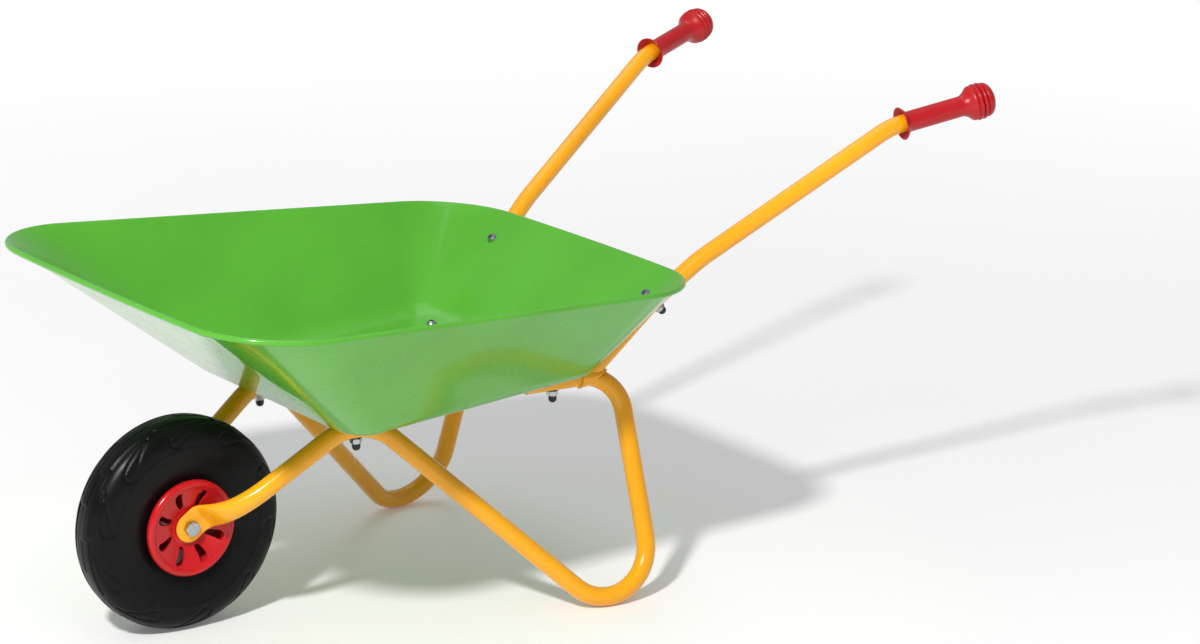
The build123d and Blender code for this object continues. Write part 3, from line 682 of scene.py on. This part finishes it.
def pressed_section(wide, thick, flatness, count=40):
    """Closed sections of a tube being pressed flat: width times cos, thickness
    times sin raised to a power that falls from 1 (round) to 0.35 (flat)."""
    a = np.linspace(0, TAU, count, endpoint=False)
    rise = np.abs(np.sin(a)) ** (1 - 0.65 * flatness[:, None])
    thickness = thick[:, None] / 2 * np.sign(np.sin(a)) * rise
    width = wide[:, None] / 2 * np.cos(a)
    return np.stack([thickness, width], -1)


def leg_points(s):
    """Leg tube from its coped top, down to the foot, up to the apex and on to
    the flattened, round-ended plate at the axle."""
    line = bent_line(LEG_CORNERS, LEG_BENDS)
    line = line[int(np.argmax(line[:, 1] > COPE_CUT_Y)):]
    start = line[-1]
    run = unit(start - np.array(LEG_CORNERS[3]))
    flat_dir = unit(np.array([0.0, run[1], run[2]]))
    plate_middle = AXLE + np.array([s.plate_x, 0, 0])
    plate_start = plate_middle - flat_dir * FLAT_REACH
    p = (start, start + run * JOGGLE_HOLDS[0],
         plate_start - flat_dir * JOGGLE_HOLDS[1], plate_start)
    t = np.linspace(0, 1, 40)[1:, None]
    joggle = ((1 - t) ** 3 * p[0] + 3 * (1 - t) ** 2 * t * p[1]
              + 3 * (1 - t) * t**2 * p[2] + t**3 * p[3])
    psi = np.linspace(0, TIP_TURN, 14)
    tip = plate_middle + flat_dir * (s.plate_radius * np.sin(psi))[:, None]
    flat = straight(plate_start, plate_middle, 6)[1:]
    path = np.vstack([line, joggle, flat, tip])
    press = np.concatenate([
        np.zeros(len(line)), ease(t[:, 0] / PRESSED_BY), np.ones(len(flat) + len(tip))])
    wide = 2 * (s.leg_radius + (s.plate_radius - s.leg_radius) * press)
    wide[-len(tip):] *= np.cos(psi)
    thick = 2 * s.leg_radius + (s.plate_thickness - 2 * s.leg_radius) * press
    thick[-len(tip):] *= 1 - 0.35 * (psi / psi[-1]) ** 6
    points = carry(path, pressed_section(wide, thick, press), np.array([1.0, 0, 0]))

    # dimple pressed in the outer face beside the bolt
    from_axle = points - plate_middle
    behind = from_axle @ -flat_dir
    aside = from_axle @ np.cross(flat_dir, [1.0, 0, 0])
    outer_face = points[..., 0] > (path[:, None, 0] + OUTER_FROM)
    dent = np.exp(-((behind - DIMPLE_BEHIND) / DIMPLE_LENGTH) ** 2
                  - ((aside - DIMPLE_ASIDE) / DIMPLE_WIDTH) ** 2)
    points[..., 0] -= np.where(outer_face, DIMPLE_DEPTH * dent, 0.0)

    # top cut to the handle tube: no point stays above the handle's underside
    handle = handle_line()
    x, y, z = handle[np.argsort(handle[:, 1])].T
    axis_x, axis_z, rise = (
        np.interp(points[..., 1], y, values) for values in (x, z, np.gradient(z, y)))
    off = (points[..., 0] - axis_x) * COPE_SLANT
    hollow = np.sqrt(np.clip(COPE_RADIUS**2 - off**2, 0, None)) * np.sqrt(1 + rise**2)
    near_top = ((points[..., 1] > COPE_FROM_Y) & (points[..., 2] > COPE_FROM_Z)
                & (np.abs(off) < COPE_RADIUS))
    height = points[..., 2]
    points[..., 2] = np.where(near_top, np.minimum(height, axis_z - hollow), height)
    return points


class BARROW_OT_handle_tubes(bpy.types.Operator):
    """Build the two bent handle tubes"""

    bl_idname = "barrow.handle_tubes"
    bl_label = "Handle tubes"

    def execute(self, context):
        points = handle_points(settings().tubes)
        for side, place in (("left", points), ("right", mirrored(points))):
            mesh = grid_mesh("handle_" + side, place, close_rows=True)
            add_piece("handle_" + side, mesh, "barrow", "frame_yellow",
                      ["handle_tube_" + side])
        return {"FINISHED"}


class BARROW_OT_leg_tubes(bpy.types.Operator):
    """Build the two bent leg tubes with their flattened fork ends"""

    bl_idname = "barrow.leg_tubes"
    bl_label = "Leg tubes"

    def execute(self, context):
        points = leg_points(settings().tubes)
        for side, place in (("left", points), ("right", mirrored(points))):
            mesh = grid_mesh("leg_" + side, place, sharp=60)
            add_piece("leg_" + side, mesh, "barrow", "frame_yellow",
                      ["leg_tube_" + side])
        return {"FINISHED"}


# ---------------------------------------------------------------- wheel
TYRE_EDGE_RADIUS = 0.0465  # the tyre's visible edge at the wheel's centre
TYRE_SEAT_RADIUS = 0.0411  # where the tyre sits on the wheel's centre
SWELL = 0.745  # widest place, as a share of the wheel's radius

TREAD_SINK = 0.0010  # depth of the hollow round each pad
TREAD_PAD = 0.0007  # height of the pad inside the hollow
TREAD_GROOVE = 0.0016  # depth of the groove between pads and middle
TREAD_STEP = 0.0009  # saw-tooth steps along the middle
TREAD_RIB = 0.0007  # thin rib round the side wall
TREAD_EDGE = 0.0005  # softness of the pads' edges
STEPS_TO, GROOVE_AT, RIB_AT = 0.0105, 0.0118, 0.0405  # from the middle of the tread

HUB_GAP = 0.0002  # each half ends this far from the wheel's middle
HUB_FACE = 0.0194  # boss's face, from the wheel's middle
HUB_BORE, HUB_BOSS = 0.0082, 0.0130  # radii of the boss, inside and outside
HUB_DRUM_IN, HUB_DRUM_OUT = 0.0385, 0.0409  # radii of the drum
LIP_CENTRE = (0.024, 0.0415)  # rolled lip's centre: place along the axle, radius
LIP_RADIUS = 0.0040

SLOT_START, SLOT_END = 0.0192, 0.0368  # radii at the slot's ends
SLOT_NARROW = 0.0029  # half width at the inner end
SLOT_WIDENS = 0.0016  # half width gained at the outer end
SLOT_BEND = 0.055  # lean of the ends against the middle, in radians
SLOT_LEAN = 0.03  # lean of the middle
SLOT_DEPTHS = (0.010, 0.034)  # cutter's ends along the axle


def tyre_section(s, inset, count):
    """Half section of the tyre from its bead to the middle of the tread."""
    half = s.half_width - inset
    crown = WHEEL_RADIUS - inset
    swell = SWELL * WHEEL_RADIUS
    knots = [
        (s.bead_x - inset, TYRE_EDGE_RADIUS),
        (half - 0.0022, 0.0585),
        (half, swell),
        (half * 0.93, swell + (crown - swell) * 0.50),
        (half * 0.70, swell + (crown - swell) * 0.83),
        (half * 0.36, swell + (crown - swell) * 0.97),
        (0.0, crown),
    ]
    return smooth_curve(knots, count)


def leaf(along, over, head, tail, head_r, tail_r):
    """How deep a point lies inside a leaf: the distance to the line from head
    to tail, taken from a radius that shrinks evenly along it."""
    d = np.array(tail) - np.array(head)
    h = np.clip(((along - head[0]) * d[0] + (over - head[1]) * d[1]) / (d @ d), 0, 1)
    distance = np.hypot(along - head[0] - h * d[0], over - head[1] - h * d[1])
    return head_r + (tail_r - head_r) * h - distance


def tread_height(s, angle, over):
    """Height of the tread pattern over the plain tyre, in metres. `over` is the
    distance from the middle of the tread along the section."""
    pitch = TAU / s.lugs
    turn = (angle / pitch) % 1.0
    far = np.abs(over)
    along = (turn - 0.5) * pitch * WHEEL_RADIUS
    outer = leaf(along, far, (0.019, 0.0300), (-0.021, 0.0155), 0.0074, 0.0010)
    inner = leaf(along, far, (0.018, 0.0297), (-0.011, 0.0190), 0.0046, 0.0008)
    height = TREAD_PAD * ease(inner / TREAD_EDGE) - TREAD_SINK * ease(outer / TREAD_EDGE)
    bridge = ease((0.055 - np.abs(turn - 0.93)) / 0.012)
    height -= TREAD_GROOVE * bump(far - GROOVE_AT, 0.0008) * (1 - bridge)
    height -= TREAD_STEP * (1 - turn) * ease((STEPS_TO - far) / 0.0008)
    height += TREAD_RIB * bump(far - RIB_AT, 0.00045)
    return height


def both_sides(half):
    """A half section from its edge to the middle, then its mirror image back."""
    return np.vstack([half, (half * [-1.0, 1.0])[::-1][1:]])


def tyre_points(s, count=600):
    """Turned section with the tread's height added along its normal."""
    skin = both_sides(tyre_section(s, 0.0, 62))
    step = np.linalg.norm(np.diff(skin, axis=0), axis=1)
    run = np.concatenate([[0.0], np.cumsum(step)])
    over = run - run[-1] / 2
    tangent = unit(np.gradient(skin, axis=0))
    normal = np.stack([-tangent[:, 1], tangent[:, 0]], -1)
    normal *= np.sign(normal[len(normal) // 2, 1])
    angle = np.linspace(0, TAU, count, endpoint=False)
    lean = np.where(over[:, None] > 0, 0.5 * TAU / s.lugs, 0.0)
    height = tread_height(s, angle[None, :] + lean, over[:, None])
    x = skin[:, :1] + normal[:, :1] * height
    r = skin[:, 1:] + normal[:, 1:] * height
    outside = np.stack([x, r * np.cos(angle), r * np.sin(angle)], -1) + AXLE
    bore = both_sides(tyre_section(s, s.tyre_wall, 12))[::-1]
    foot_right = np.array([[skin[-1, 0], TYRE_SEAT_RADIUS], [bore[0, 0], TYRE_SEAT_RADIUS]])
    foot_left = foot_right[::-1] * [-1.0, 1.0]
    inside = turned(np.vstack([foot_right, bore, foot_left]), count, AXLE)
    return np.concatenate([outside, inside])


def hub_points(count=192):
    """Left half of the wheel's centre: drum, rolled lip, dished web and boss."""
    a = np.radians(np.linspace(188, -52, 30))
    lip = LIP_CENTRE + LIP_RADIUS * np.stack([np.cos(a), np.sin(a)], -1)
    dish = smooth_curve([
        lip[-1], (0.0254, 0.0350), (0.0237, 0.0290), (0.0216, 0.0225),
        (0.0201, 0.0186), (HUB_FACE, 0.0165), (HUB_FACE, 0.0140)], 30)[1:]
    back = np.array([
        (HUB_FACE, HUB_BORE), (HUB_GAP, HUB_BORE), (HUB_GAP, HUB_BOSS), (0.0166, HUB_BOSS),
        (0.0168, 0.0170), (0.0180, 0.0195), (0.0212, 0.0290), (0.0226, 0.0350),
        (0.0215, HUB_DRUM_IN), (HUB_GAP, HUB_DRUM_IN), (HUB_GAP, HUB_DRUM_OUT)])
    return turned(np.vstack([lip, dish, back]), count, AXLE)


def slot_cutters(s, rings=36):
    """Closed prisms for the slots: a bent teardrop, wide at its outer end,
    whose middle line leans round the wheel as the square of its run."""
    k = np.linspace(0, TAU, rings, endpoint=False)
    u = (1 - np.cos(k)) / 2
    radius = SLOT_START + (SLOT_END - SLOT_START) * u
    width = SLOT_NARROW + SLOT_WIDENS * ease(u)
    end = np.sqrt(np.clip(1 - (2 * u - 1) ** 6, 0, 1))
    side = np.sign(np.sin(k)) * width * end
    lean = SLOT_LEAN - SLOT_BEND * (2 * u - 1) ** 2
    points = []
    faces = []
    for i in range(s.slots):
        a = TAU * (i + 0.5) / s.slots + lean + side / radius
        for x in SLOT_DEPTHS:
            points.append(np.stack(
                [np.full(rings, x), radius * np.cos(a), radius * np.sin(a)], -1))
        near = 2 * rings * i + np.arange(rings)
        far = near + rings
        faces += np.stack(
            [near, np.roll(near, -1), np.roll(far, -1), far], -1).tolist()
        faces += [near[::-1].tolist(), far.tolist()]
    return np.vstack(points) + AXLE, faces


def outward(verts, faces):
    """Faces turned so that the solid's volume, the sum of a . (b x c) / 6 over
    fans of every face, is positive."""
    volume = 0.0
    for face in faces:
        ring = verts[face]
        volume += np.einsum("ij,ij->", np.broadcast_to(ring[0], ring[1:-1].shape),
                            np.cross(ring[1:-1], ring[2:]))
    return faces if volume > 0 else [face[::-1] for face in faces]


def cut(mesh, tool_mesh, sharp):
    """New mesh: the first with the tool's solid taken out of it."""
    whole, tool = (bpy.data.objects.new(m.name, m) for m in (mesh, tool_mesh))
    for obj in (whole, tool):
        bpy.context.scene.collection.objects.link(obj)
    modifier = whole.modifiers.new("cut", "BOOLEAN")
    modifier.operation = "DIFFERENCE"
    modifier.solver = "EXACT"
    modifier.object = tool
    bpy.context.view_layer.update()
    graph = bpy.context.evaluated_depsgraph_get()
    result = bpy.data.meshes.new_from_object(whole.evaluated_get(graph))
    for obj in (whole, tool):
        bpy.data.objects.remove(obj)
    result.polygons.foreach_set("use_smooth", np.ones(len(result.polygons), bool))
    result.set_sharp_from_angle(angle=math.radians(sharp))
    return result


class BARROW_OT_tyre(bpy.types.Operator):
    """Build the tyre with its tread"""

    bl_idname = "barrow.tyre"
    bl_label = "Tyre"

    def execute(self, context):
        points = tyre_points(settings().wheel)
        mesh = grid_mesh("tyre_moulded", points, close_rows=True, sharp=60)
        add_piece("tyre_moulded", mesh, "wheel", "tyre_black", ["tyre"])
        return {"FINISHED"}


class BARROW_OT_wheel_centre(bpy.types.Operator):
    """Build the two dished halves of the wheel's centre, with their slots"""

    bl_idname = "barrow.wheel_centre"
    bl_label = "Wheel centre"

    def execute(self, context):
        half = hub_points()
        slots, faces = slot_cutters(settings().wheel)
        for side, place, slot_place in (("left", half, slots),
                                        ("right", mirrored(half), mirrored(slots))):
            whole = grid_mesh("whole_" + side, place, close_rows=True)
            tool = bpy.data.meshes.new("slot_tool_" + side)
            tool.from_pydata(slot_place.tolist(), [], outward(slot_place, faces))
            mesh = cut(whole, tool, sharp=32)
            mesh.name = "centre_" + side
            add_piece("centre_" + side, mesh, "wheel", "hub_red", ["hub_" + side])
        return {"FINISHED"}


# ---------------------------------------------------------------- grips
RING_PITCH = 0.0050  # knob's rings, crest to crest
RING_DEPTH = 0.0030  # groove between two rings
TUBE_IN_KNOB = 0.006  # handle tube's end past the grip's plain part
TUBE_END_GAP = 0.0002  # bore is deeper than the tube's end


def grip_profile(s):
    """Outside of the grip as (place along it, radius): cup, plain body, cone,
    three rings and round end."""
    b, f, k, length = s.body_radius, s.flange_radius, s.knob_radius, s.length
    cone_end = s.body_length + 0.0125
    cup = smooth_curve([
        (0.0030, b - 0.0014), (0.0008, b + 0.0006), (-0.0018, b + 0.0038),
        (-0.0032, f - 0.0008)], 14)
    lip = smooth_curve([(-0.0034, f - 0.0003), (-0.0030, f + 0.0001), (-0.0022, f)], 6)
    cup_back = smooth_curve([
        (-0.0018, f - 0.0006), (0.0002, b + 0.0038), (0.0020, b + 0.0014),
        (0.0050, b)], 14)
    body = np.array([(x, b) for x in np.linspace(0.010, s.body_length - 0.002, 10)])
    cone = smooth_curve([
        (s.body_length, b), (s.body_length + 0.0045, b + 0.0022),
        (s.body_length + 0.0100, b + 0.0068), (cone_end, k - 0.0022)], 14)
    x = np.linspace(cone_end + 0.0005, length - 0.0085, 60)
    crest = (x - (cone_end + 0.0026)) / RING_PITCH
    ring = np.abs(np.cos(math.pi * crest)) ** 0.6
    past = np.clip(x - (cone_end + 0.0075), 0, None)
    hull = k - 0.0004 - 0.10 * past - 26.0 * past**2
    rings = np.stack([x, hull - RING_DEPTH * (1 - ring)], -1)
    end = rings[-1]
    t = np.linspace(0, math.pi / 2, 14)[1:-1]
    dome = np.stack([end[0] + (length - end[0]) * np.sin(t), end[1] * np.cos(t)], -1)
    return np.vstack([cup, lip, cup_back, body, cone, rings, dome])


class BARROW_OT_grips(bpy.types.Operator):
    """Build the two hand grips"""

    bl_idname = "barrow.grips"
    bl_label = "Grips"

    def execute(self, context):
        s = settings().grips
        bore_r = settings().tubes.handle_radius
        end, bend = (np.array(p) for p in HANDLE_CORNERS[:2])
        along = unit(end - bend)
        foot = end - along * (s.body_length + TUBE_IN_KNOB)
        side = unit(np.cross(along, [0.0, 0.0, 1.0]))
        up = np.cross(side, along)
        bore_end = s.body_length + TUBE_IN_KNOB + TUBE_END_GAP
        bore = np.array([(x, bore_r) for x in np.linspace(bore_end, 0.004, 8)])
        rows = np.vstack([bore, grip_profile(s)])[:, None]
        a = np.linspace(0, TAU, 72, endpoint=False)[None, :, None]
        points = (foot + rows[..., :1] * along
                  + rows[..., 1:] * (np.cos(a) * side + np.sin(a) * up))
        for name, place in (("left", points), ("right", mirrored(points))):
            mesh = grid_mesh("grip_moulded_" + name, place, sharp=40)
            add_piece("grip_moulded_" + name, mesh, "barrow", "grip_red",
                      ["grip_" + name])
        return {"FINISHED"}


# ---------------------------------------------------------------- fittings
class BARROW_OT_fittings(bpy.types.Operator):
    """Give the bolts, nuts, caps, bushes, sleeve and welds their finishes"""

    bl_idname = "barrow.fittings"
    bl_label = "Fittings"

    def execute(self, context):
        slots = {part["node"]: part["material_slot"] for part in frame["record"]["subparts"]}
        for node, obj in frame["nodes"].items():
            obj.data.materials.clear()
            obj.data.materials.append(finish(slots[node]))
        return {"FINISHED"}


# ---------------------------------------------------------------- stage
FLOOR_HALF = 30.0  # half the side of the floor
GLOW_SPAN = (0.5, 2.8)  # the floor brightens between these distances
GLOW = (0.10, 0.55)  # from the first strength to the second
KEY_SIZE = 0.26
KEY_PLACE = (1.25, -2.04, 2.3)
TOP_SIZE = (1.2, 3.0)
TOP_PLACE = (-0.6, 0.3, 2.8)
LIGHTS_AIM = (0.0, 0.1, 0.15)
LOOK_BEHIND_AXLE = 0.479755  # the point that the camera looks at
LOOK_HEIGHT = 0.217783


def build_floor():
    """White floor with painted light: it glows faintly everywhere and more further out, so that
    it meets the sky.
    """
    corners = np.array([[-1, -1, 0], [1, -1, 0], [1, 1, 0], [-1, 1, 0]]) * FLOOR_HALF
    mesh = bpy.data.meshes.new("floor")
    mesh.from_pydata(corners.tolist(), [], [[0, 1, 2, 3]])
    floor = bpy.data.objects.new("floor", mesh)
    bpy.context.scene.collection.objects.link(floor)
    n = Nodes("floor_paper")
    tone = n.ramp(n.noise(1.5), 0.3, 0.7)
    n.to(n.mix(tone, (0.86, 0.86, 0.87), (0.88, 0.88, 0.89)), "Base Color")
    span = n.tree.nodes.new("ShaderNodeVectorMath")
    span.operation = "LENGTH"
    n.link(n.place, span.inputs[0])
    # painted light: emission on the floor, weak near the middle and strong further out
    n.to(n.ramp(span.outputs["Value"], *GLOW_SPAN, *GLOW), "Emission Strength")
    n.set(Roughness=0.6, Emission_Color=(1.0, 1.0, 1.0))
    mesh.materials.append(n.material)


def build_lights(s):
    """Soft sky, a small key light and a wide soft light overhead."""
    world = bpy.data.worlds.new("soft_sky")
    world.use_nodes = True
    background = world.node_tree.nodes["Background"]
    background.inputs["Color"].default_value = (0.97, 0.98, 1.0, 1.0)
    background.inputs["Strength"].default_value = s.sky
    bpy.context.scene.world = world

    key = bpy.data.lights.new("key", "AREA")
    key.shape = "DISK"
    key.size = KEY_SIZE
    key.energy = s.key_power
    key.color = (1.0, 0.985, 0.96)
    top = bpy.data.lights.new("top", "AREA")
    top.shape = "RECTANGLE"
    top.size, top.size_y = TOP_SIZE
    top.energy = s.top_power
    for light, place in ((key, KEY_PLACE), (top, TOP_PLACE)):
        lamp = bpy.data.objects.new(light.name, light)
        lamp.location = place
        aim = Vector(LIGHTS_AIM) - lamp.location
        lamp.rotation_euler = aim.to_track_quat("-Z", "Y").to_euler()
        bpy.context.scene.collection.objects.link(lamp)


def place_camera(s):
    """Camera at the distance from its target, turned, raised and rolled."""
    back = Vector((math.sin(s.azimuth) * math.cos(s.elevation),
                   -math.cos(s.azimuth) * math.cos(s.elevation), math.sin(s.elevation)))
    level = Vector((math.cos(s.azimuth), math.sin(s.azimuth), 0.0))
    upright = back.cross(level)
    right = level * math.cos(s.roll) + upright * math.sin(s.roll)
    above = upright * math.cos(s.roll) - level * math.sin(s.roll)
    target = Vector((0.0, AXLE[1] + LOOK_BEHIND_AXLE, LOOK_HEIGHT))
    camera = bpy.data.cameras.new("camera")
    camera.lens = s.lens
    camera.sensor_width = 36.0
    camera.clip_end = 100.0
    eye = bpy.data.objects.new("camera", camera)
    place = Matrix((right, above, back)).transposed().to_4x4()
    place.translation = target + back * s.distance
    eye.matrix_world = place
    bpy.context.scene.collection.objects.link(eye)
    bpy.context.scene.camera = eye


class BARROW_OT_stage(bpy.types.Operator):
    """Build the floor, the lights and the camera"""

    bl_idname = "barrow.stage"
    bl_label = "Stage"

    def execute(self, context):
        build_floor()
        build_lights(settings().stage)
        place_camera(settings().stage)
        bpy.context.scene.view_settings.view_transform = "Standard"
        return {"FINISHED"}


# ---------------------------------------------------------------- panel
OPERATORS = (
    BARROW_OT_fittings,
    BARROW_OT_tray,
    BARROW_OT_handle_tubes,
    BARROW_OT_leg_tubes,
    BARROW_OT_tyre,
    BARROW_OT_wheel_centre,
    BARROW_OT_grips,
    BARROW_OT_stage,
)


class BARROW_PT_panel(bpy.types.Panel):
    """Sizes and steps of the wheelbarrow"""

    bl_idname = "BARROW_PT_panel"
    bl_label = "Wheelbarrow"
    bl_space_type = "VIEW_3D"
    bl_region_type = "UI"
    bl_category = "Wheelbarrow"

    def draw(self, context):
        s = settings()
        for title, group in (("Tray", s.tray), ("Tubes", s.tubes), ("Wheel", s.wheel),
                             ("Grips", s.grips), ("Colours", s.colours), ("Stage", s.stage)):
            box = self.layout.box()
            box.label(text=title)
            for name in group.bl_rna.properties.keys():
                if name not in ("rna_type", "name"):
                    box.prop(group, name)
        for operator in OPERATORS:
            self.layout.operator(operator.bl_idname)


CLASSES = (
    TraySizes, TubeSizes, WheelSizes, GripSizes, Colours, StageSettings,
    WheelbarrowSettings, *OPERATORS, BARROW_PT_panel,
)


def register():
    for cls in CLASSES:
        bpy.utils.register_class(cls)
    bpy.types.Scene.wheelbarrow = PointerProperty(type=WheelbarrowSettings)


def unregister():
    del bpy.types.Scene.wheelbarrow
    for cls in reversed(CLASSES):
        bpy.utils.unregister_class(cls)


def main():
    register()
    for operator in OPERATORS:
        group, name = operator.bl_idname.split(".")
        getattr(getattr(bpy.ops, group), name)()


if __name__ == "__main__":
    main()
